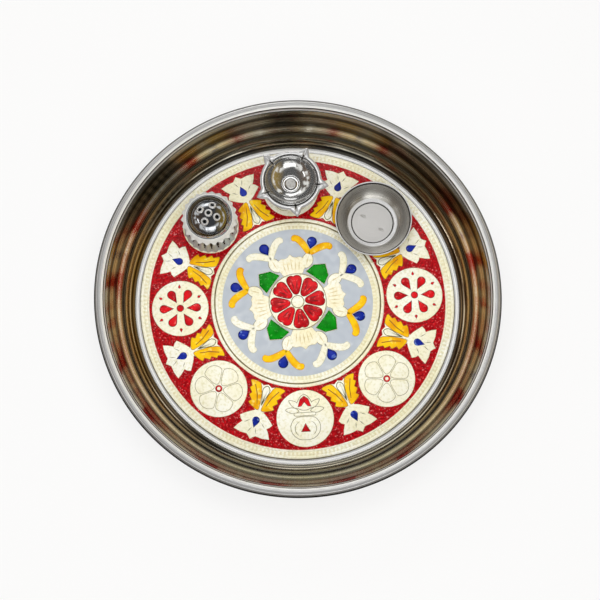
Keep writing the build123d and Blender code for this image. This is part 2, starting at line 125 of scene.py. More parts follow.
def distance_out(tree, place, middle):
    """Distance from an upright axis, for patterns turned in a lathe."""
    shifted = node(tree, "ShaderNodeMapping", {"Vector": place, "Location": (-middle[0] * MM, -middle[1] * MM, 0)})
    parts = node(tree, "ShaderNodeSeparateXYZ", {"Vector": shifted.outputs[0]})
    level = node(tree, "ShaderNodeCombineXYZ", {"X": parts.outputs["X"], "Y": parts.outputs["Y"]})
    return node(tree, "ShaderNodeVectorMath", {0: level.outputs[0]}, operation="LENGTH").outputs["Value"]


# Colours of the painted reflections and painted shade on the pan's steel
PAINTED_WARM_REFLECTION, PAINTED_DARK, PAINTED_BRIGHT_BAND = (196, 142, 58), (36, 33, 26), (240, 236, 222)


def turned_steel(name, middle, shine, shades, brushing, metal=1.0, pitch=2600.0, bands=0.0, gloss=0.5, painted_reflection=0.0):
    """Steel turned in circles about an axis, with smudges.

    A pan also has bright and dark bands that are painted reflections of its wall, a warm tone at its two sides that
    is a painted reflection, and a dark band under its rim that is painted shade.
    """
    finish, tree, skin, place = new_finish(name)
    out = distance_out(tree, place, middle)
    rings = speckle(tree, out, pitch, 4.0, "1D")
    ripples = speckle(tree, out, 420.0, 3.0, "1D")
    smudges = speckle(tree, place, 45.0, 3.0)
    ground = blend(tree, smudges, tint(*shades[0]), tint(*shades[1]))
    ground = blend(tree, ranged(tree, rings, 0.3, 0.7, 0.0, 0.35), ground, tint(*shades[2]))
    # Painted reflection: a warm tone towards the pan's two sides
    if painted_reflection:
        sideways = node(tree, "ShaderNodeSeparateXYZ", {"Vector": place}).outputs["X"]
        sideways = node(tree, "ShaderNodeMath", {0: sideways}, operation="ABSOLUTE").outputs[0]
        ground = blend(tree, ranged(tree, sideways, 0.06, 0.125, 0.0, painted_reflection), ground, tint(*PAINTED_WARM_REFLECTION))
    # Painted reflection: dark and bright bands in rings
    ground = blend(tree, ranged(tree, ripples, 0.48, 0.56, 0.0, bands), ground, tint(*PAINTED_DARK))
    ground = blend(tree, ranged(tree, ripples, 0.36, 0.42, bands, 0.0), ground, tint(*PAINTED_BRIGHT_BAND))
    # Painted shade: a dark band just under the rim
    if painted_reflection:
        ground = blend(tree, ranged(tree, out, 0.1285, 0.131, 0.0, painted_reflection), ground, tint(*PAINTED_DARK))
    feed(tree, skin.inputs["Base Color"], ground)
    feed(tree, skin.inputs["Roughness"], ranged(tree, rings, 0.25, 0.75, shine[0], shine[1]))
    slow = dimpled(tree, ripples, bands, 0.3)
    feed(tree, skin.inputs["Normal"], dimpled(tree, rings, brushing, 0.05, slow))
    skin.inputs["Metallic"].default_value = metal
    skin.inputs["Specular IOR Level"].default_value = gloss
    return finish


def lacquer(name, pale, warm, shade, line):
    """Cream-gold lacquer, mottled, darker where it thins out at an edge."""
    finish, tree, skin, place = new_finish(name)
    patches = speckle(tree, place, 30.0, 3.0)
    mottle = speckle(tree, place, 520.0, 3.0)
    ground = blend(tree, ranged(tree, patches, 0.38, 0.62, 0.0, 1.0), tint(*pale), tint(*warm))
    ground = blend(tree, ranged(tree, mottle, 0.48, 0.72, 0.0, 0.8), ground, tint(*shade))
    inside = node(tree, "ShaderNodeAttribute", attribute_name="inside").outputs["Fac"]
    ground = blend(tree, ranged(tree, inside, 0.3, 0.7, 0.45, 0.0), ground, tint(*line))
    feed(tree, skin.inputs["Base Color"], ground)
    feed(tree, skin.inputs["Roughness"], ranged(tree, mottle, 0.3, 0.7, 0.28, 0.45))
    feed(tree, skin.inputs["Normal"], dimpled(tree, mottle, 0.35, 0.15))
    skin.inputs["Specular IOR Level"].default_value = 0.3
    return finish


def enamel(name, deep, bright, painted_highlight_fleck, grain=420.0, wave=0.3, gloss=0.3):
    """Glossy enamel, deep where it pools at the edge, with paler flecks that are painted highlights."""
    finish, tree, skin, place = new_finish(name)
    clouds = speckle(tree, place, grain * 0.4, 2.0)
    flecks = speckle(tree, place, grain, 2.0)
    inside = node(tree, "ShaderNodeAttribute", attribute_name="inside").outputs["Fac"]
    ground = blend(tree, ranged(tree, inside, 0.2, 0.8, 0.0, 1.0), tint(*deep), tint(*bright))
    ground = blend(tree, ranged(tree, clouds, 0.42, 0.68, 0.0, 0.65), ground, tint(*deep))
    # Painted highlight: pale specks in the enamel's colour
    ground = blend(tree, ranged(tree, flecks, 0.6, 0.74, 0.0, 0.7), ground, tint(*painted_highlight_fleck))
    feed(tree, skin.inputs["Base Color"], ground)
    feed(tree, skin.inputs["Roughness"], ranged(tree, flecks, 0.3, 0.7, 0.12, 0.22))
    feed(tree, skin.inputs["Normal"], dimpled(tree, clouds, wave, 0.25))
    skin.inputs["Specular IOR Level"].default_value = gloss
    return finish


DARK_STEEL = ((170, 163, 146), (148, 141, 124), (124, 117, 100))
LIGHT_STEEL = ((234, 234, 233), (220, 220, 219), (204, 204, 203))
SATIN_STEEL = ((240, 240, 240), (226, 226, 226), (208, 208, 208))
WHITE_STEEL = ((252, 252, 250), (240, 241, 238), (206, 208, 204))
BOWL_STEEL = ((218, 216, 211), (198, 195, 189), (168, 165, 158))
FLOOR_STEEL = ((226, 225, 223), (210, 208, 205), (186, 184, 180))
CUP_STEEL = ((200, 210, 210), (182, 192, 192), (158, 168, 168))
OUTSIDE_STEEL = ((206, 204, 200), (190, 188, 184), (170, 168, 164))
EDGE_PAINTED_SHADE = ((62, 60, 58), (52, 50, 48), (42, 40, 38))
DOME_STEEL = ((192, 195, 200), (176, 179, 184), (158, 161, 166))
GREY_PAINTED_SHADE = ((132, 130, 127), (116, 114, 111), (98, 96, 93))
DULL_PAINTED_SHADE = ((58, 56, 54), (46, 44, 42), (34, 32, 30))
# Inside of the pan: painted reflection bands, a painted warm reflection at its sides and painted shade under its rim
pan_steel = turned_steel("pan_mirror_steel", (0, 0), (0.1, 0.18), DARK_STEEL, 0.1, 1.0, 2600.0, 0.8, 0.5, 0.6)
outside_steel = turned_steel("pan_outside_steel", (0, 0), (0.16, 0.26), OUTSIDE_STEEL, 0.2, 1.0, 2600.0, 0.08)
rim_steel = turned_steel("rim_satin_steel", (0, 0), (0.24, 0.36), SATIN_STEEL, 0.3, 0.6, 1800.0, 0.3)
# Painted shade: the outer side of the rolled bead is dark steel, where it would mirror dark surroundings
rim_edge = turned_steel("rim_edge_painted_shade", (0, 0), (0.3, 0.4), EDGE_PAINTED_SHADE, 0.1, 0.9, 1800.0, 0.0, 0.1)
rim_edge.node_tree.nodes["Principled BSDF"].inputs["Specular Tint"].default_value = tint(60, 60, 60)
# Painted shade: a grey band on the bead's outer side, between its dark edge and its top
rim_shade = turned_steel("rim_grey_painted_shade", (0, 0), (0.5, 0.6), GREY_PAINTED_SHADE, 0.2, 0.2, 1800.0, 0.0, 0.1)
# Painted highlight: white steel on the bead's inner top and in a line round the plate
rim_shine = turned_steel("rim_painted_highlight", (0, 0), (0.24, 0.34), WHITE_STEEL, 0.1, 0.1, 1800.0)
lamp_steel = turned_steel("lamp_steel", LAMP_PLACE, (0.08, 0.14), LIGHT_STEEL, 0.1, 0.95)
lip_steel = turned_steel("lip_satin_steel", LAMP_PLACE, (0.18, 0.28), SATIN_STEEL, 0.1, 0.7)
stand_steel = turned_steel("stand_steel", STAND_PLACE, (0.06, 0.12), DOME_STEEL, 0.05)
skirt_steel = turned_steel("skirt_satin_steel", STAND_PLACE, (0.2, 0.3), WHITE_STEEL, 0.05, 0.15)
collar_steel = turned_steel("collar_satin_steel", STAND_PLACE, (0.2, 0.3), SATIN_STEEL, 0.05, 0.5)
cup_steel = turned_steel("cup_satin_steel", STAND_PLACE, (0.3, 0.4), CUP_STEEL, 0.05, 0.35)
bowl_steel = turned_steel("bowl_satin_steel", BOWL_PLACE, (0.24, 0.34), BOWL_STEEL, 0.4, 0.95, 1700.0)
bowl_floor = turned_steel("bowl_floor_steel", BOWL_PLACE, (0.3, 0.42), FLOOR_STEEL, 0.3, 0.6, 1700.0)
# Painted highlight: pale steel on the bowl's cove ring and on the top of its rim
bowl_painted_highlight = turned_steel("bowl_painted_highlight_steel", BOWL_PLACE, (0.24, 0.34), SATIN_STEEL, 0.1, 0.35)
# Painted shade: dark steel put in grooves, slits and gaps where shade falls
painted_shade_steel = turned_steel("painted_shade_dull_steel", (0, 0), (0.5, 0.6), DULL_PAINTED_SHADE, 0.1, 0.3, 2600.0, 0.0, 0.1)
cast_grey = lacquer("cast_grey", (190, 188, 184), (160, 158, 154), (120, 118, 114), (90, 88, 86))
cream = lacquer("cream_lacquer", (255, 254, 241), (250, 245, 214), (226, 221, 176), (222, 208, 150))
gold_cream = lacquer("gold_cream_lacquer", (255, 252, 234), (250, 243, 208), (238, 224, 172), (220, 204, 146))
soft_line = lacquer("soft_line", (168, 162, 128), (150, 142, 106), (128, 120, 86), (150, 142, 106))
gold_line = lacquer("gold_line", (234, 220, 170), (222, 206, 152), (204, 188, 132), (222, 206, 152))
olive_line = lacquer("olive_line", (132, 118, 70), (108, 96, 54), (90, 78, 42), (108, 96, 54))
field_line = lacquer("field_line", (116, 6, 10), (96, 4, 8), (76, 2, 6), (96, 4, 8))
brown_line = lacquer("brown_line", (172, 98, 8), (146, 80, 6), (112, 60, 4), (146, 80, 6))
leaf_line = lacquer("leaf_line", (112, 120, 44), (92, 102, 36), (72, 80, 28), (92, 102, 36))
red = enamel("red_stipple", (136, 0, 8), (212, 10, 24), (250, 150, 148), 760.0, 0.6, 0.15)
petal_red = enamel("petal_red", (120, 0, 8), (226, 20, 30), (250, 132, 126), 420.0, 0.5, 0.12)
grey = enamel("grey_blue", (186, 194, 204), (196, 203, 211), (214, 219, 224), 110.0, 0.1, 0.08)
green = enamel("leaf_green", (0, 92, 6), (10, 148, 20), (96, 206, 92), 420.0, 0.4, 0.08)
yellow = enamel("leaf_yellow", (226, 134, 2), (255, 206, 20), (255, 240, 130), 300.0, 0.5, 0.1)
blue = enamel("drop_blue", (4, 6, 56), (20, 44, 162), (132, 168, 240), 300.0, 0.6, 0.15)


# ---------------------------------------------------------------- making shapes

def new_shape():
    """Empty shape; its points carry how far they lie inside their pad."""
    shape = bmesh.new()
    shape.verts.layers.float.new("inside")
    return shape


def set_down(name, shape, finishes, body, nodes=(), place=(0, 0, 0), crisp=38):
    """Makes a piece from a shape drawn in millimetres, and rides it on its body."""
    bmesh.ops.remove_doubles(shape, verts=shape.verts, dist=0.0004)
    bmesh.ops.recalc_face_normals(shape, faces=shape.faces)
    for face in shape.faces:
        face.smooth = True
    for edge in shape.edges:
        edge.smooth = len(edge.link_faces) == 2 and edge.calc_face_angle() < radians(crisp)
    bmesh.ops.translate(shape, verts=shape.verts, vec=place)
    bmesh.ops.scale(shape, verts=shape.verts, vec=(MM, MM, MM))
    mesh = bpy.data.meshes.new(name)
    shape.to_mesh(mesh)
    shape.free()
    for finish in finishes:
        mesh.materials.append(finish)
    piece = bpy.data.objects.new(name, mesh)
    bpy.context.scene.collection.objects.link(piece)
    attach(piece, body)
    if nodes:
        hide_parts(*nodes)
    return piece


def spin_section(shape, section, steps, closed=True):
    """Turns a section of (radius, height) points once round the upright axis; returns its points."""
    inside = shape.verts.layers.float["inside"]
    known = len(shape.verts)
    points = [shape.verts.new((radius, 0, height)) for radius, height in section]
    lines = [shape.edges.new(pair) for pair in zip(points, points[1:])]
    if closed:
        lines.append(shape.edges.new((points[-1], points[0])))
    bmesh.ops.spin(shape, geom=points + lines, cent=(0, 0, 0), axis=(0, 0, 1), dvec=(0, 0, 0),
                   angle=2 * pi, steps=steps, use_merge=True, use_duplicate=False)
    shape.verts.ensure_lookup_table()
    made = shape.verts[known:]
    for point in made:
        point[inside] = 1.0
    return made


def arc(middle, radius, start, end, steps):
    """Points along an arc of a section, angles in degrees."""
    turns = [radians(start + (end - start) * i / steps) for i in range(steps + 1)]
    return [(middle[0] + radius * cos(t), middle[1] + radius * sin(t)) for t in turns]


def bow(start, through, end, steps):
    """Points along the arc through three points."""
    (ax, ay), (bx, by), (cx, cy) = start, through, end
    d = 2 * (ax * (by - cy) + bx * (cy - ay) + cx * (ay - by))
    a, b, c = ax**2 + ay**2, bx**2 + by**2, cx**2 + cy**2
    middle = ((a * (by - cy) + b * (cy - ay) + c * (ay - by)) / d,
              (a * (cx - bx) + b * (ax - cx) + c * (bx - ax)) / d)
    first, mid, last = (degrees(atan2(y - middle[1], x - middle[0])) for x, y in (start, through, end))
    sweep = (last - first) % 360
    if (mid - first) % 360 > sweep:
        sweep -= 360
    return arc(middle, hypot(ax - middle[0], ay - middle[1]), first, first + sweep, steps)


def ball_side(start, end, steps, out=0.0):
    """Arc between two points of a section, about a centre on the axis."""
    centre = (end[0]**2 + end[1]**2 - start[0]**2 - start[1]**2) / (2 * (end[1] - start[1]))
    radius = hypot(start[0], start[1] - centre) + out
    turns = [degrees(atan2(z - centre, r)) for r, z in (start, end)]
    return arc((0, centre), radius, *turns, steps)


def bead(outer, inner, foot, top, steps=6):
    """Half-round bead of a section, from its outer edge to its inner one."""
    middle, half = (outer + inner) / 2, (outer - inner) / 2
    turns = [pi * i / steps for i in range(steps + 1)]
    return [(middle + half * cos(t), foot + (top - foot) * sin(t)) for t in turns]


def laid(points, out, turn):
    """Points moved out along X, then turned round the middle."""
    c, s = cos(radians(turn)), sin(radians(turn))
    return [((x + out) * c - y * s, (x + out) * s + y * c) for x, y in points]


def grown(points, by):
    """Outline with its edge moved outwards, or inwards where negative."""
    moved = []
    for before, here, after in zip(points[-1:] + points, points, points[1:] + points[:1]):
        first = Vector((here[0] - before[0], here[1] - before[1])).normalized()
        second = Vector((after[0] - here[0], after[1] - here[1])).normalized()
        normal = Vector((first.y + second.y, -first.x - second.x)).normalized()
        reach = by / max(0.45, normal.dot(Vector((first.y, -first.x))))
        moved.append((here[0] + normal.x * reach, here[1] + normal.y * reach))
    return moved


def eased(points, cuts=3):
    """Outline led in a smooth line through its points."""
    line = []
    count = len(points)
    for i in range(count):
        a, b, c, d = (Vector(points[(i + k) % count]) for k in (-1, 0, 1, 2))
        for j in range(cuts):
            t = j / cuts
            spot = b * 2 + (c - a) * t + (a * 2 - b * 5 + c * 4 - d) * t**2 + (b * 3 - a - c * 3 + d) * t**3
            line.append((spot.x / 2, spot.y / 2))
    return line


def both_sides(half):
    """Whole outline from the half above the X axis."""
    return half + [(x, -y) for x, y in reversed(half) if abs(y) > 0.001]


def flipped(points):
    """Outline mirrored in the X axis."""
    return [(x, -y) for x, y in reversed(points)]


def drop_outline(round_r, reach, steps=14):
    """Drop with its round end about the origin and its point at +X."""
    touch = degrees(acos(round_r / reach))
    return [(reach, 0)] + arc((0, 0), round_r, touch, 360 - touch, steps)


def inward_drop(round_r, reach, out):
    """Drop whose point looks at the middle of the tray."""
    return [(out - x, -y) for x, y in drop_outline(round_r, reach)]


def disc_outline(radius, steps=48):
    """Round outline."""
    return arc((0, 0), radius, 0, 360, steps)[:-1]


def raise_pad(shape, outline, foot, rises, wall=0):
    """Raises a pad from an outline: each rise is (inwards, upwards, finish number)."""
    inside = shape.verts.layers.float["inside"]
    base = shape.faces.new([shape.verts.new((x, y, foot)) for x, y in outline])
    grown_up = bmesh.ops.extrude_face_region(shape, geom=[base])["geom"]
    top = [part for part in grown_up if isinstance(part, bmesh.types.BMFace)][0]
    bmesh.ops.translate(shape, verts=top.verts, vec=(0, 0, 0.05))
    for edge in base.edges:
        for face in edge.link_faces:
            face.material_index = wall
    for count, (inwards, upwards, finish) in enumerate(rises):
        ring = bmesh.ops.inset_region(shape, faces=[top], thickness=inwards, depth=0, use_even_offset=True)["faces"]
        bmesh.ops.translate(shape, verts=top.verts, vec=(0, 0, upwards))
        for face in ring:
            face.material_index = finish
        for point in top.verts:
            point[inside] = (count + 1) / len(rises)
    top.material_index = rises[-1][2]


# How a pad climbs: dark foot line, rounded shoulder, almost flat top. In the red field the dark foot line is an
# outline and also painted shade where the pad meets the ground.
PAD_RISE = [(0.55, 0.22, 1), (0.35, 0.16, 0), (0.5, 0.05, 0)]
DETAIL_RISE = [(0.5, 0.0, 1), (0.4, 0.12, 0), (0.5, 0.04, 0)]
FILL_RISE = [(0.3, 0.0, 1), (0.35, 0.1, 0), (0.6, 0.06, 0)]
LOTUS_RISE = [(0.5, 0.22, 1), (0.4, 0.16, 3), (0.6, 0.05, 3)]

# ---------------------------------------------------------------- pan

wall_way = degrees(atan2(BEAD_MIDDLE[1] - CREASE_Z, BEAD_MIDDLE[0] - CREASE_R)) + 8.14
cove_r = ((CREASE_R - PAN_FLOOR_R)**2 + (CREASE_Z - SHEET)**2) / (2 * (CREASE_Z - SHEET))
cove_middle = (PAN_FLOOR_R, SHEET + cove_r)
cove_end = degrees(atan2(CREASE_Z - cove_middle[1], CREASE_R - cove_middle[0]))
roll_end = wall_way + 90 - 285
bead_foot = arc(BEAD_MIDDLE, BEAD_R, wall_way + 90, wall_way, 1)[0]
along = (cos(radians(wall_way)), sin(radians(wall_way)))
pan_inside = [(0, SHEET), (60, SHEET)]
pan_inside += arc(cove_middle, cove_r, -90, cove_end - 2.5, 16)
pan_inside += [(CREASE_R + 0.02, CREASE_Z + 0.05), (CREASE_R + 0.3, CREASE_Z + 0.6)]
pan_inside += [(bead_foot[0] - back * along[0] + deep * along[1], bead_foot[1] - back * along[1] - deep * along[0])
               for back, deep in ((2.2, 0.0), (1.8, 0.32), (1.0, 0.42), (0.2, 0.3))]
pan_inside += arc(BEAD_MIDDLE, BEAD_R, wall_way + 86, roll_end, 44)
pan_outside = pan_inside[-1:] + arc(BEAD_MIDDLE, BEAD_R - SHEET, roll_end, wall_way + 90, 44)
pan_outside += [(CREASE_R + 0.79, CREASE_Z - 0.2)]
pan_outside += arc(cove_middle, cove_r + SHEET, cove_end - 2.5, -90, 16)
pan_outside += [(60, 0), (0, 0)]

# Numbers of the pan's finishes, after the mirror steel, and degrees round the bead where they start and end. The dark
# edge, the grey band above it and the dark line at the bead's inner foot are painted shade; the bright band on the
# bead and round the plate is a painted highlight.
RIM, EDGE, SHADE, SHINE, OUTSIDE, PAINTED_SHADE_LINE = range(1, 7)
EDGE_FROM, EDGE_TO, SHADE_TO, SHINE_FROM = 2, 44, 60, 112
SHINE_TO, SEAM_TO = wall_way + 76, wall_way + 95
SEAM_DROP = 1.95            # how far below the bead's foot the groove and the wall are painted dark as shade
LINE_W = 3                  # painted highlight round the plate, brightest in its middle third
pan = new_shape()
spin_section(pan, pan_inside, 288, closed=False)
inside_count = len(pan.faces)
spin_section(pan, pan_outside, 288, closed=False)
for count, face in enumerate(pan.faces):
    spot = face.calc_center_median()
    out, up = spot.xy.length - BEAD_MIDDLE[0], spot.z - BEAD_MIDDLE[1]
    round_bead = degrees(atan2(up, out))
    past_floor = spot.xy.length - PAN_FLOOR_R
    if count >= inside_count:
        face.material_index = OUTSIDE
    elif hypot(out, up) < BEAD_R + 0.1:
        face.material_index = RIM
        # Painted shade: a dark edge and a grey band on the bead's outer side
        if EDGE_FROM < round_bead < EDGE_TO:
            face.material_index = EDGE
        elif EDGE_TO < round_bead < SHADE_TO:
            face.material_index = SHADE
        # Painted highlight on the bead's inner top, then painted shade at its inner foot
        elif SHINE_FROM < round_bead < SHINE_TO:
            face.material_index = SHINE
        elif SHINE_TO < round_bead < SEAM_TO:
            face.material_index = PAINTED_SHADE_LINE
    # Painted shade: the wall just under the bead is dark steel
    elif spot.z > bead_foot[1] - SEAM_DROP:
        face.material_index = PAINTED_SHADE_LINE
    # Painted highlight: a bright line on the floor and cove just outside the plate
    elif 0 < past_floor < LINE_W:
        face.material_index = SHINE if LINE_W / 3 < past_floor < LINE_W * 2 / 3 else RIM
pan_finishes = [pan_steel, rim_steel, rim_edge, rim_shade, rim_shine, outside_steel, painted_shade_steel]
set_down("pan", pan, pan_finishes, "tray", ["tray_pan"])

# ---------------------------------------------------------------- relief plate: base and border rings

plate = new_shape()
plate_section = [(0, 0.82), (PLATE_R + 0.55, 0.82), (PLATE_R + 0.5, 0.95), (PLATE_R, 1.0)]
plate_section += bead(PLATE_R, 109.3, 1.75, 2.26)
plate_section += [(109.2, 1.7), (106.75, 1.7)]
plate_section += bead(106.7, RED_OUT, 1.65, 2.28)
plate_section += [(RED_OUT - 0.05, CELL_Z), (RED_IN + 0.05, CELL_Z)]
plate_section += bead(RED_IN, 59.3, 1.65, 2.28)
plate_section += [(59.15, 1.62), (58.5, 1.62)]
plate_section += bead(58.4, 56.2, 1.7, 2.24)
plate_section += [(56.1, 1.62), (GREY_R, CELL_Z), (0, CELL_Z)]
spin_section(plate, plate_section, 240, closed=False)
# Dark line lacquer in the low channel between the inner beads, and on the plate's outer edge, where it is painted
# shade in the gap to the pan
for face in plate.faces:
    spot = face.calc_center_median()
    if spot.z < 1.71 and (58.4 < spot.xy.length < 59.3 or spot.xy.length > 109.1):
        face.material_index = 1
set_down("relief_plate_rings", plate, [cream, olive_line], "tray", ["relief_plate"])


def reeded_ring(name, outer, inner, foot, top, count, depth):
    """Flat ring with small reeds across it."""
    shape = new_shape()
    inside = shape.verts.layers.float["inside"]
    section = [(outer, foot), (outer, top - 0.12), (outer - 0.25, top)]
    section += [((outer + inner) / 2, top), (inner + 0.25, top), (inner, top - 0.12), (inner, foot)]
    for point in spin_section(shape, section, count * 4):
        if point.co.z > foot + 0.05:
            low = 0.5 - 0.5 * cos(count * atan2(point.co.y, point.co.x))
            point.co.z -= depth * low
            point[inside] = 1.0 - low
    set_down(name, shape, [cream], "tray", crisp=80)


reeded_ring("outer_reeds", 109.1, 106.85, 1.65, 2.14, 240, 0.3)
reeded_ring("inner_reeds", 56.05, 53.65, 1.58, 2.1, 130, 0.32)

# ---------------------------------------------------------------- medallions

PETAL_MARK = eased(both_sides([(17.0, 0), (16.0, 3.6), (13.2, 6.2), (10.8, 5.9), (7.4, 4.0), (4.4, 2.2),
                               (3.0, 0)]), 2)
MARK_RISE = [(0.34, 0.0, 1), (0.4, 0.12, 0), (0.5, 0.04, 0)]

medallions = new_shape()
marks = new_shape()
for k in range(8):
    # Dark red walls and foot lines: an outline, and painted shade at the medallion's foot
    raise_pad(medallions, laid(disc_outline(20.5, 72), SPOKE_R, 45 * k), CELL_Z, PAD_RISE, 2)
    for face in medallions.faces:
        if face.material_index == 1:
            face.material_index = 2
for k, petal_turn in ((1, 0), (2, 0), (3, 0), (5, 225), (7, 325)):
    for i in range(6):
        way = petal_turn - 45 * k + 60 * i
        raise_pad(medallions, laid(laid(PETAL_MARK, 0, way), SPOKE_R, 45 * k), DETAIL_Z, MARK_RISE, 1)
    raise_pad(marks, laid(disc_outline(2.5, 24), SPOKE_R, 45 * k), DETAIL_Z + 0.04,
              [(0.25, 0.05, 1), (0.7, 0.06, 0)], 1)
    raise_pad(medallions, laid(disc_outline(1.4, 16), SPOKE_R, 45 * k), DETAIL_Z + 0.13, [(0.4, 0.04, 0)], 0)
for k in (0, 4):
    raise_pad(marks, laid(disc_outline(2.6, 24), SPOKE_R, 45 * k), DETAIL_Z, FILL_RISE, 1)
    for i in range(6):
        raise_pad(marks, laid(laid(inward_drop(3.1, 7.2, 11.6), 0, 60 * i), SPOKE_R, 45 * k), DETAIL_Z, FILL_RISE, 1)
        tip = laid(drop_outline(1.0, 2.0, 8), 15.4, 30 + 60 * i)
        raise_pad(marks, laid(tip, SPOKE_R, 45 * k), DETAIL_Z, [(0.2, 0.0, 1), (0.3, 0.12, 0)], 1)

# Pot with leaves and a nut on top, seen from the rim of the tray
CHEVRON = both_sides([(-11.2, 0), (-8.4, 2.2), (-8.0, 4.8), (-13.6, 3.0), (-15.8, 0)])
TRIANGLE = both_sides([(9.4, 0), (9.4, 3.4), (3.4, 0)])
POT_NUT = eased(both_sides([(-5.4, 0), (-6.2, 3.6), (-9.0, 5.8), (-13.8, 4.0), (-17.2, 0)]), 2)
POT_LEAVES = [eased([(x * cos(t) + y * sin(t) - 4.6, y * cos(t) - x * sin(t)) for x, y in
                     ((0.0, 3.6), (2.2, 7.4), (1.7, 11.2), (0.0, 13.9), (-1.7, 11.2), (-2.2, 7.4))], 2)
              for t in (radians(-8), radians(-38))]
POT_BELLY = eased(both_sides([(15.2, 0), (14.4, 5.4), (10.4, 9.6), (5.2, 10.6), (0.6, 8.4), (-1.2, 5.2),
                              (-1.4, 0)]), 2)
POT_LIP = eased(both_sides([(-1.6, 0), (-1.6, 6.6), (-2.8, 7.8), (-4.2, 7.0), (-4.2, 0)]), 2)
POT_GROOVE = bow((2.2, 4.4), (6.2, 7.6), (11.6, 5.4), 8)
POT_GROOVE += [(x, y - 0.5) for x, y in POT_GROOVE[::-1]]
for outline in (CHEVRON, TRIANGLE):
    raise_pad(marks, laid(outline, SPOKE_R, 270), DETAIL_Z + 0.1, [(0.3, 0.0, 1), (0.4, 0.1, 0)], 1)
for outline in POT_LEAVES:
    for side in (outline, flipped(outline)):
        raise_pad(medallions, laid(side, SPOKE_R, 270), DETAIL_Z, [(0.45, 0.0, 1), (0.4, 0.08, 0)], 1)
for outline in (POT_NUT, POT_BELLY, POT_LIP):
    raise_pad(medallions, laid(outline, SPOKE_R, 270), DETAIL_Z + 0.01, [(0.45, 0.0, 1), (0.4, 0.06, 0)], 1)
for side in (POT_GROOVE, flipped(POT_GROOVE)):
    raise_pad(medallions, laid(side, SPOKE_R, 270), DETAIL_Z + 0.08, [(0.1, 0.01, 1)], 1)
set_down("medallions", medallions, [cream, soft_line, field_line], "tray")
set_down("medallion_marks", marks, [petal_red, field_line], "tray", ["red_medallion_marks"])

# ---------------------------------------------------------------- border flowers

FLOWER_SHARES = [
    (1.02, 0), (0.95, 0.1), (0.87, 0.24), (0.88, 0.6), (0.83, 1.0), (0.66, 0.87), (0.49, 0.69), (0.42, 0.82),
    (0.3, 0.92), (0.17, 0.68), (0.05, 0.44), (-0.03, 0.23), (-0.225, 0.725), (-0.32, 0.615), (-0.465, 0.815),
    (-0.555, 0.71), (-0.7, 0.91), (-0.775, 0.815), (-0.94, 0.97), (-1, 0.86), (-0.99, 0.46), (-0.915, 0.23),
    (-0.99, 0),
]
LEAF_SHARES = [
    (-0.04, 0.17), (-0.12, 0.5), (-0.23, 0.74), (-0.325, 0.62), (-0.465, 0.83), (-0.56, 0.72), (-0.7, 0.92),
    (-0.78, 0.82), (-0.94, 0.98), (-1.0, 0.86), (-0.98, 0.42), (-0.76, 0.24), (-0.51, 0.13), (-0.12, 0.05),
]


def flower_points(shares):
    """Points of a border flower from shares of its reach and half width."""
    return [(x * (19.3 if x > 0 else 20.6), y * 13) for x, y in shares]


flowers = new_shape()
flower_leaves = new_shape()
flower_drops = new_shape()
flower_outline = both_sides(flower_points(FLOWER_SHARES))
leaf_outline = eased(flower_points(LEAF_SHARES), 2)
leaf_vein = [(-5.0, 3.4), (-11.5, 5.6), (-17.6, 9.0), (-17.9, 8.4), (-11.6, 4.9), (-5.2, 3.0)]
middle_leaf = eased(both_sides([(-4.4, 0), (-8.8, 1.1), (-13.4, 2.4), (-17.0, 2.6), (-19.4, 0)]), 2)
petal_folds = [both_sides([(0, 0), (2.4, 0.3), (5.0, 0)])[::-1]] * 2
petal_folds = [[(x * cos(t) - y * sin(t) + a, x * sin(t) + y * cos(t) + b) for x, y in fold]
               for fold, t, a, b in zip(petal_folds, (radians(24), radians(48)), (11.2, 6.6), (1.2, 4.0))]
for k in range(8):
    turn = 22.5 + 45 * k
    # Dark red foot line: an outline, and painted shade where the flower meets the red field
    raise_pad(flowers, laid(grown(flower_outline, 0.55), SPOKE_R, turn), CELL_Z, PAD_RISE[:2] + [(0.3, 0.06, 0)], 1)
    raise_pad(flowers, laid(middle_leaf, SPOKE_R, turn), DETAIL_Z, [(0.5, 0.0, 3), (0.4, 0.12, 0)], 3)
    raise_pad(flowers, laid([(x + 6.1, y) for x, y in drop_outline(4.0, 8.0)], SPOKE_R, turn), DETAIL_Z - 0.03,
              [(0.3, 0.02, 2), (0.4, 0.08, 0)], 2)
    for fold in petal_folds:
        for side in (fold, flipped(fold)):
            raise_pad(flowers, laid(side, SPOKE_R, turn), DETAIL_Z, [(0.1, 0.02, 2)], 2)
    for side in (leaf_outline, flipped(leaf_outline)):
        raise_pad(flower_leaves, laid(side, SPOKE_R, turn), DETAIL_Z, [(0.3, 0.0, 1), (0.45, 0.14, 0)], 1)
    for side in (leaf_vein, flipped(leaf_vein)):
        raise_pad(flower_leaves, laid(side, SPOKE_R, turn), DETAIL_Z + 0.16, [(0.1, 0.02, 1)], 1)
    raise_pad(flower_drops, laid([(x + 6.1, y) for x, y in drop_outline(3.0, 6.2)], SPOKE_R, turn), DETAIL_Z + 0.04,
              [(0.3, 0.02, 0), (0.5, 0.1, 0), (0.7, 0.05, 0)], 0)
set_down("border_flowers", flowers, [cream, field_line, soft_line, leaf_line], "tray")
set_down("flower_leaves", flower_leaves, [yellow, brown_line], "tray", ["yellow_flower_leaves"])
set_down("flower_drops", flower_drops, [blue], "tray", ["blue_flower_drops"])

# ---------------------------------------------------------------- centre disc

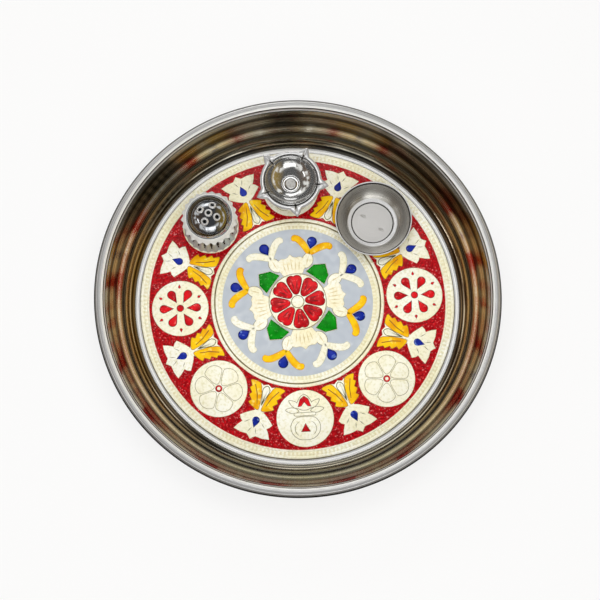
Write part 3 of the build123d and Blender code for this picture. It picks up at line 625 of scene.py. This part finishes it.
centre = new_shape()
petals = new_shape()
leaves = new_shape()
scrolls = new_shape()
centre_drops = new_shape()
raise_pad(centre, disc_outline(HUB_R + 0.45, 96), CELL_Z, PAD_RISE, 1)
raise_pad(centre, disc_outline(4.7, 40), DETAIL_Z, DETAIL_RISE, 2)
spin_section(centre, bead(HUB_R - 0.3, HUB_R - 0.9, DETAIL_Z - 0.05, DETAIL_Z + 0.12, 4), 96)
for face in centre.faces:
    if HUB_R - 1 < face.calc_center_median().xy.length < HUB_R - 0.2 and face.calc_center_median().z > 2:
        face.material_index = 2
petal_outline = eased(both_sides([(18.3, 0), (19.0, 1.6), (18.6, 3.6), (17.0, 5.0), (14.6, 5.1), (11.2, 3.9),
                                  (8.2, 2.7), (6.3, 1.6), (5.5, 0)]), 2)
petal_streak = both_sides([(16.0, 0), (12.0, 0.4), (8.0, 0)])
for i in range(8):
    turn = PATTERN_TURN + 45 * i
    raise_pad(petals, laid(grown(petal_outline, 0.45), 0, turn), DETAIL_Z,
              [(0.3, 0.0, 1), (0.4, 0.1, 0), (0.9, 0.06, 0)], 1)
    for lean in (-1.6, 1.6):
        streak = [(x, y + lean * (x - 4) / 9) for x, y in petal_streak]
        raise_pad(petals, laid(streak, 0, turn), DETAIL_Z + 0.19, [(0.1, 0.02, 1)], 1)

leaf_end = (23 * cos(radians(19.5)), 23 * sin(radians(19.5)))
leaf_shoulder = (29.2 * cos(radians(12.5)), 29.2 * sin(radians(12.5)))
leaf_foot = bow((leaf_end[0], -leaf_end[1]), (21.9, 0), leaf_end, 10)
green_outline = [(33.8, 0), leaf_shoulder] + leaf_foot[::-1] + [(leaf_shoulder[0], -leaf_shoulder[1])]
lotus_outline = eased(both_sides([(35.0, 0), (33.2, 2.0), (32.4, 4.4), (32.6, 7.0), (31.0, 9.6), (30.0, 12.2),
                                  (27.4, 12.6), (24.8, 10.4), (22.0, 8.2), (19.4, 6.0)]), 2)
for i in range(4):
    raise_pad(centre, laid(grown(green_outline, 1.0), 0, LEAF_TURN + 90 * i), CELL_Z, PAD_RISE[:2], 1)
    raise_pad(leaves, laid(grown(green_outline, 0.25), 0, LEAF_TURN + 90 * i), DETAIL_Z - 0.02, FILL_RISE, 1)
    raise_pad(centre, laid(grown(lotus_outline, 0.3), 0, PATTERN_TURN + 90 * i), CELL_Z, LOTUS_RISE, 1)
    for lean in (-2, -1, 0, 1, 2):
        length = 9.6 - 1.3 * abs(lean)
        rib = both_sides([(22.2 + length, 0), (22.2 + length / 2, 0.45), (22.0, 0)])
        rib = [(x, y + lean * (2.3 + 0.1 * (x - 22))) for x, y in rib]
        raise_pad(centre, laid(rib, 0, PATTERN_TURN + 90 * i), DETAIL_Z, [(0.12, 0.03, 4)], 4)

ARM_RISE = [(0.3, 0.2, 1), (0.35, 0.2, 0), (0.35, 0.08, 0)]
bud_outline = both_sides(bow((37.4, 0), (31.4, 4.1), (25.0, 0), 12))
arm_outline = eased([(38.2, -1.2), (41.2, 1.2), (44.4, 4.2), (46.9, 8.0), (47.9, 11.8), (47.0, 14.6), (44.6, 15.5),
                     (42.3, 14.2), (42.4, 11.6), (40.7, 8.6), (38.2, 5.4), (35.8, 2.6), (34.8, 0.4), (35.4, -1.2)], 2)
for i in range(8):
    turn = SCROLL_TURN + 45 * i
    raise_pad(centre, laid(grown(bud_outline, 0.3), 0, turn), CELL_Z + 0.07, PAD_RISE, 1)
    rib = both_sides([(35.0, 0), (31.0, 0.45), (27.4, 0)])
    raise_pad(centre, laid(rib, 0, turn), DETAIL_Z + 0.07, [(0.12, 0.03, 4)], 4)
    for side in (arm_outline, flipped(arm_outline)):
        raise_pad(scrolls if i % 2 else centre, laid(side, 0, turn), CELL_Z + 0.02, ARM_RISE, 1 if i % 2 else 2)
    raise_pad(centre_drops, laid(inward_drop(3.7, 5.7, 45.5), 0, turn), CELL_Z + 0.1,
              [(0.35, 0.28, 0), (0.6, 0.12, 0), (0.8, 0.08, 0)], 0)
set_down("centre_relief", centre, [cream, olive_line, soft_line, gold_cream, gold_line], "tray")
set_down("petals", petals, [petal_red, field_line], "tray", ["red_petals"])
set_down("leaves", leaves, [green, green], "tray", ["green_leaves"])
set_down("scrolls", scrolls, [yellow, brown_line], "tray", ["yellow_scrolls"])
set_down("centre_drops", centre_drops, [blue], "tray", ["blue_centre_drops"])

# ---------------------------------------------------------------- enamel grounds

def ground_ring(name, outer, inner, rows, steps, level, swell, finish, nodes):
    """Ring of enamel whose face is stippled by hand."""
    shape = new_shape()
    inside = shape.verts.layers.float["inside"]
    section = [(inner + (outer - inner) * i / rows, level) for i in range(rows + 1)]
    section += [(outer, CELL_Z - 0.02), (inner, CELL_Z - 0.02)]
    most = sum(share for size, share in swell)
    for point in spin_section(shape, section, steps):
        if point.co.z > level - 0.01:
            spot = Vector((point.co.x, point.co.y, 0))
            lift = sum(share * noise.noise(spot / size) for size, share in swell)
            point.co.z += lift
            point[inside] = 0.5 + 1.1 * lift / most
    set_down(name, shape, [finish], "tray", nodes, crisp=80)


ground_ring("red_field", RED_OUT - 0.1, RED_IN + 0.1, 56, 700, 1.82, [(1.25, 0.2), (0.7, 0.08)], red,
            ["red_ground"])
ground_ring("grey_field", GREY_R - 0.05, HUB_R - 1, 26, 220, 1.82, [(5.0, 0.03)], grey,
            ["grey_ground"])

# ---------------------------------------------------------------- lamp

FIRST_SPOUT = 60.5
lamp_side = ball_side((7.1, 12.9), (17.7, 21.5), 16)
lamp_under = ball_side((7.1, 12.9), (17.7, 21.5), 16, 0.8)
lamp_section = [(0, 12.9), (5.2, 12.9), (5.5, 13.25), (6.2, 13.5), (6.9, 13.3), (7.15, 12.98)]
lamp_section += lamp_side[1:]
lamp_section += [(18.1, 21.7), (18.4, 21.72), (18.55, 21.4), (18.7, 21.0), (18.95, 21.0), (19.1, 21.4)]
lamp_section += [(19.3, 21.62), (19.7, 21.72), (20.2, 21.76), (20.7, 21.72), (21.2, 21.6), (21.5, 21.45)]
lamp_section += arc((21.4, 21.05), 0.4, 60, -80, 6)
lamp_section += [(20.6, 20.65), (19.6, 20.6), (18.6, 20.5)]
lamp_section += lamp_under[::-1][1:] + [(5.0, 12.1), (0, 12.1)]


def pinch(point, first):
    """Pulls the lip out into the nearest of five spouts and presses a groove along it."""
    radius = hypot(point.co.x, point.co.y)
    away = degrees(atan2(point.co.y, point.co.x)) - first
    away -= SPOUT_STEP * round(away / SPOUT_STEP)
    nose = max(0.0, 1 - abs(away) / 11.0)
    crease = max(0.0, 1 - abs(away) / 2.6)
    reach = min(1.0, max(0.0, (radius - 18.8) / 2.7))
    inwards = max(0.0, 1 - abs(radius - 18.4) / 2.6)
    if nose and radius > 15:
        out = 5.4 * nose**0.95 * reach**1.1
        point.co.x *= (radius + out) / radius
        point.co.y *= (radius + out) / radius
        point.co.z -= 1.2 * crease * inwards + 0.35 * nose * reach


lamp = new_shape()
for point in spin_section(lamp, lamp_section, 360, closed=False):
    pinch(point, FIRST_SPOUT)
for face in lamp.faces:
    spot = face.calc_center_median()
    away = degrees(atan2(spot.y, spot.x)) - FIRST_SPOUT
    slit = abs(away - SPOUT_STEP * round(away / SPOUT_STEP)) < 1.6 and 17.2 < spot.xy.length < 21.0
    # Painted shade: the slits along the spouts and the ring inside the lip are dark steel; the lip itself is satin
    if spot.z > 19.6 and (spot.xy.length > 18.5 or slit):
        face.material_index = 2 if slit or spot.xy.length < 19.25 else 1
set_down("lamp_bowl", lamp, [lamp_steel, lip_steel, painted_shade_steel], "diya", ["diya_bowl"], LAMP_PLACE)

foot = new_shape()
foot_side = bow((7.1, 12.1), (7.9, 5.2), (13.4, 1.1), 16)
foot_section = [(0, 12.1), (5.0, 12.1)] + foot_side + arc((13.2, 0.7), 0.4, 60, 0, 4) + [(13.6, 0.0), (12.8, 0.0)]
foot_section += [(12.8, 0.6)] + bow((12.6, 0.75), (7.1, 5.0), (6.3, 11.3), 16) + [(0, 11.3)]
spin_section(foot, foot_section, 128, closed=False)
set_down("lamp_foot", foot, [lamp_steel], "diya", ["diya_foot"], LAMP_PLACE)

rivet = new_shape()
rivet_section = [(0, 13.55), (0.8, 13.5), (1.6, 13.55), (2.4, 13.5), (3.1, 13.52), (3.5, 13.75)]
rivet_section += [(4.0, 13.88), (4.6, 13.6)]
rivet_section += [(4.8, 12.9), (1.5, 12.9), (1.5, 11.3), (2.8, 11.3), (2.8, 10.3), (0, 10.3)]
for point in spin_section(rivet, rivet_section, 64, closed=False):
    if hypot(point.co.x, point.co.y) < 3.3 and point.co.z > 13:
        point.co.z += 0.2 * noise.noise(Vector((point.co.x, point.co.y, 3.0)) / 0.7)
for face in rivet.faces:
    spot = face.calc_center_median()
    if spot.xy.length < 3.3 and spot.z > 13:
        face.material_index = 1
set_down("lamp_rivet", rivet, [lamp_steel, cast_grey], "diya", ["diya_rivet"], LAMP_PLACE)

# ---------------------------------------------------------------- incense stand

DOME_BALL_R, DOME_BALL_Z = 16.858, 17.142
HOLE_TILT, HOLE_TURN = 22.68, 63.0
SKIRT = (0.0, 0.12, 0.3, 0.5, 0.7, 0.86, 1.0)
dome_top = ball_side((0.0, 34.0), (15.7, 23.9), 30)
dome_under = ball_side((0.0, 34.0), (15.7, 23.9), 30, -0.8)
cap_section = dome_top + [(15.85, 23.6), (16.05, 23.55), (16.2, 23.8), (16.4, 23.95), (16.7, 23.9)]
cap_section += [(16.9 + 2.2 * t**0.9, 23.7 - 3.4 * t) for t in SKIRT]
cap_section += [(16.3 + 2.1 * t**0.9, 23.0 - 3.0 * t) for t in SKIRT[::-1]]
cap_section += dome_under[::-1]
cap = new_shape()
for point in spin_section(cap, cap_section, 264, closed=False):
    fall = max(0.0, (23.5 - point.co.z) / 3.2)
    radius = hypot(point.co.x, point.co.y)
    if fall and radius > 16.15:
        wave = cos(FLUTE_COUNT * atan2(point.co.y, point.co.x))
        spread = (radius + 0.75 * wave * fall) / radius
        point.co.x *= spread
        point.co.y *= spread
        point.co.z += 1.3 * fall**2 * (0.5 - 0.5 * wave)
for face in cap.faces:
    spot = face.calc_center_median()
    if spot.xy.length > 16.1 and spot.z < 24.05:
        face.material_index = 1
cap_piece = set_down("stand_cap", cap, [stand_steel, skirt_steel], "incense_stand",
                     ["incense_cap"], STAND_PLACE)

hole_ways = [Matrix.Identity(3)]
tilt = Matrix.Rotation(radians(HOLE_TILT), 3, "Y")
hole_ways += [Matrix.Rotation(radians(HOLE_TURN + 90 * i), 3, "Z") @ tilt for i in range(4)]
collars = new_shape()
drills = new_shape()
for way in hole_ways:
    low, high = DOME_BALL_R - 0.75, DOME_BALL_R + 0.75
    collar_section = [(1.45, low), (1.45, high - 0.4)] + arc((1.95, high - 0.5), 0.5, 170, 10, 8)
    collar_section += [(2.5, DOME_BALL_R + 0.15), (2.9, DOME_BALL_R - 0.35)]
    ring = spin_section(collars, collar_section, 40)
    bmesh.ops.rotate(collars, verts=ring, cent=(0, 0, 0), matrix=way)
    bmesh.ops.translate(collars, verts=ring, vec=(0, 0, DOME_BALL_Z))
    rod = bmesh.ops.create_cone(drills, cap_ends=True, segments=40, radius1=1.9, radius2=1.9, depth=6)["verts"]
    bmesh.ops.translate(drills, verts=rod, vec=(0, 0, DOME_BALL_R))
    bmesh.ops.rotate(drills, verts=rod, cent=(0, 0, 0), matrix=way)
    bmesh.ops.translate(drills, verts=rod, vec=(0, 0, DOME_BALL_Z))
set_down("stand_collars", collars, [collar_steel], "incense_stand", (), STAND_PLACE)

bmesh.ops.translate(drills, verts=drills.verts, vec=STAND_PLACE)
bmesh.ops.scale(drills, verts=drills.verts, vec=(MM, MM, MM))
drill_mesh = bpy.data.meshes.new("drills")
drills.to_mesh(drill_mesh)
drills.free()
drill = bpy.data.objects.new("drills", drill_mesh)
bpy.context.scene.collection.objects.link(drill)
bore = cap_piece.modifiers.new("stick_holes", "BOOLEAN")
bore.operation = "DIFFERENCE"
bore.solver = "EXACT"
bore.object = drill
bpy.context.view_layer.update()
drilled = bpy.data.meshes.new_from_object(cap_piece.evaluated_get(bpy.context.evaluated_depsgraph_get()))
cap_piece.modifiers.clear()
cap_piece.data = drilled
bpy.data.objects.remove(drill)

cup = new_shape()
cup_section = [(0, 0.0), (18.4, 0.0)] + arc((18.4, 0.6), 0.6, -90, 10, 6)
cup_section += bow((18.9, 1.0), (16.2, 7.0), (15.3, 14.0), 14)[1:]
cup_section += [(15.3, 23.0), (15.1, 23.2), (14.7, 23.2), (14.5, 23.0)]
cup_section += bow((14.5, 14.0), (15.4, 7.0), (18.0, 1.4), 10) + [(17.4, 0.8), (0, 0.8)]
for point in spin_section(cup, cup_section, 220, closed=False):
    radius = hypot(point.co.x, point.co.y)
    if radius > 15.4 and point.co.z > 0.3:
        wave = cos(FLUTE_COUNT * atan2(point.co.y, point.co.x)) * max(0.0, 1 - point.co.z / 13)
        point.co.x *= (radius + 0.7 * wave) / radius
        point.co.y *= (radius + 0.7 * wave) / radius
# Painted shadow: dark steel in the flute hollows under the skirt
for face in cup.faces:
    spot = face.calc_center_median()
    narrow = 0.2 + 0.15 * max(0.0, 8 - spot.z)
    if cos(FLUTE_COUNT * atan2(spot.y, spot.x)) < -narrow and spot.xy.length > 15.4 and 2.5 < spot.z < 13:
        face.material_index = 1
set_down("stand_cup", cup, [cup_steel, painted_shade_steel], "incense_stand", ["incense_base"], STAND_PLACE)

# ---------------------------------------------------------------- offering bowl

DENTS = [(8.2, -41.5), (8.2, 138.5)]
bowl_section = [(14.6 * i / 28, 0.7) for i in range(29)]
bowl_section += [(14.75, 0.55), (14.9, 0.45), (15.15, 0.45), (15.25, 0.8), (15.4, 1.15), (15.7, 1.3)]
bowl_section += [(16.3, 1.36), (17.0, 1.45)]
bowl_section += [(17.6, 1.6), (18.0, 1.9)] + ball_side((18.3, 2.25), (25.6, 10.9), 18)
bowl_section += [(25.75, 11.2), (26.2, 11.5), (26.5, 11.9)] + arc((26.95, 12.15), 0.45, 170, -60, 8)
bowl_section += ball_side((18.3, 2.1), (26.5, 11.5), 18, 0.6)[::-1]
bowl_section += [(16.8, 0.75), (15.6, 0.35), (15.0, 0.05), (14.4, 0.0), (0, 0.0)]
bowl = new_shape()
for point in spin_section(bowl, bowl_section, 176, closed=False):
    if abs(point.co.z - 0.7) < 0.01:
        for out, turn in DENTS:
            spot = Vector((out * cos(radians(turn)), out * sin(radians(turn))))
            along = Vector((cos(radians(turn + 15)), sin(radians(turn + 15))))
            away = point.co.xy - spot
            span = hypot(away.dot(along) / 2.2, away.dot(Vector((-along.y, along.x))) / 1.0)
            if span < 1:
                point.co.z -= 0.45 * (1 - span**2)
for face in bowl.faces:
    spot = face.calc_center_median()
    # Painted highlight on the cove round the floor and on the top of the rim
    if 15.3 < spot.xy.length < 17.9 and spot.z > 1.0 or spot.z > 12.25:
        face.material_index = 1
    elif spot.xy.length < 14.65:
        face.material_index = 3
    # Painted shade: dark steel in the groove round the floor and on the outer lip below the rim
    elif 14.65 < spot.xy.length < 15.2 and 0.4 < spot.z < 0.75 or spot.xy.length > 25.7 and spot.z > 11.1:
        face.material_index = 2
set_down("offering_bowl_satin", bowl, [bowl_steel, bowl_painted_highlight, painted_shade_steel, bowl_floor], "bowl",
         ["offering_bowl"], BOWL_PLACE)

# ---------------------------------------------------------------- floor, light and camera

def hang_lamp(name, spot, aim, size, power, mirrored=True):
    """Soft lamp; one that isn't mirrored lights colours without showing in polished metal."""
    light = bpy.data.lights.new(name, "AREA")
    light.shape = "RECTANGLE"
    light.size, light.size_y = size
    light.energy = power
    holder = bpy.data.objects.new(name, light)
    holder.location = spot
    holder.rotation_euler = (Vector(aim) - Vector(spot)).to_track_quat("-Z", "Y").to_euler()
    holder.visible_glossy = mirrored
    bpy.context.scene.collection.objects.link(holder)


table = bmesh.new()
bmesh.ops.create_grid(table, x_segments=8, y_segments=8, size=30)
table_mesh = bpy.data.meshes.new("table")
table.to_mesh(table_mesh)
table.free()
table_top = bpy.data.objects.new("table", table_mesh)
bpy.context.scene.collection.objects.link(table_top)
paper, tree, skin, place = new_finish("white_paper")
skin.inputs["Base Color"].default_value = tint(246, 246, 246)
skin.inputs["Roughness"].default_value = 0.9
skin.inputs["Specular IOR Level"].default_value = 0.1
rays = node(tree, "ShaderNodeLightPath")
seen = node(tree, "ShaderNodeMath", {0: rays.outputs["Is Camera Ray"], 1: rays.outputs["Is Glossy Ray"]},
            operation="MAXIMUM")
seen = node(tree, "ShaderNodeMath", {0: seen.outputs[0], 1: rays.outputs["Is Transmission Ray"]}, operation="MAXIMUM")
share = node(tree, "ShaderNodeMath", {0: seen.outputs[0], 1: 0.75}, operation="MULTIPLY")
glow = node(tree, "ShaderNodeEmission", {"Color": tint(252, 252, 252), "Strength": 1.0})
both = node(tree, "ShaderNodeMixShader", {0: share.outputs[0], 1: skin.outputs[0], 2: glow.outputs[0]})
tree.links.new(both.outputs[0], tree.nodes["Material Output"].inputs["Surface"])
table_mesh.materials.append(paper)

room = bpy.data.worlds.new("room")
room.use_nodes = True
sky = room.node_tree
way = node(sky, "ShaderNodeTexCoord").outputs["Generated"]
parts = node(sky, "ShaderNodeSeparateXYZ", {"Vector": way})
walls = blend(sky, ranged(sky, parts.outputs["X"], 0.4, 0.95, 0.0, 1.0), (0.08, 0.08, 0.08, 1), (0.34, 0.22, 0.03, 1))
walls = blend(sky, ranged(sky, parts.outputs["X"], -0.95, -0.3, 1.0, 0.0), walls, (0.12, 0.075, 0.045, 1))
lit = node(sky, "ShaderNodeMath", {0: ranged(sky, parts.outputs["Z"], 0.2, 0.28, 0.0, 1.0),
                                   1: ranged(sky, parts.outputs["Z"], 0.58, 0.7, 1.0, 0.0)}, operation="MULTIPLY")
patches = ranged(sky, speckle(sky, way, 3.2, 1.0), 0.46, 0.54, 0.0, 1.0)
panes = node(sky, "ShaderNodeMath", {0: lit.outputs[0], 1: patches}, operation="MULTIPLY")
feed(sky, sky.nodes["Background"].inputs["Color"], blend(sky, panes.outputs[0], walls, (0.95, 0.94, 0.9, 1)))
bpy.context.scene.world = room

hang_lamp("ceiling_panel", (0.03, 0.42, 1.25), (0.03, 0.42, 0), (0.36, 0.32), 0.8)
hang_lamp("wide_panel", (0.0, 0.0, 1.3), (0, 0, 0), (1.7, 1.7), 17.5, mirrored=False)
hang_lamp("front_panel", (0.05, -1.1, 0.7), (0, 0, 0), (1.1, 0.4), 2.0)
hang_lamp("back_strip", (-0.1, 1.1, 0.6), (0, 0, 0), (1.0, 0.3), 1.2)
hang_lamp("side_strip", (-1.0, -0.2, 0.7), (0, 0, 0), (0.4, 0.06), 0.25)

LENS, CAMERA_SPOT = 74.6, (-0.02708, -0.1914, 0.8635)
camera_data = bpy.data.cameras.new("camera")
camera_data.sensor_width = 36
camera_data.lens = LENS
camera = bpy.data.objects.new("camera", camera_data)
across, upward = Vector((0.99783, -0.06298, 0.01925)), Vector((0.05724, 0.97393, 0.21951))
backward = Vector((-0.03257, -0.21794, 0.97542))
turn = Matrix((across, upward, backward)).transposed().to_4x4()
camera.matrix_world = Matrix.Translation(CAMERA_SPOT) @ turn
bpy.context.scene.collection.objects.link(camera)
bpy.context.scene.camera = camera
bpy.context.scene.view_settings.view_transform = "Standard"
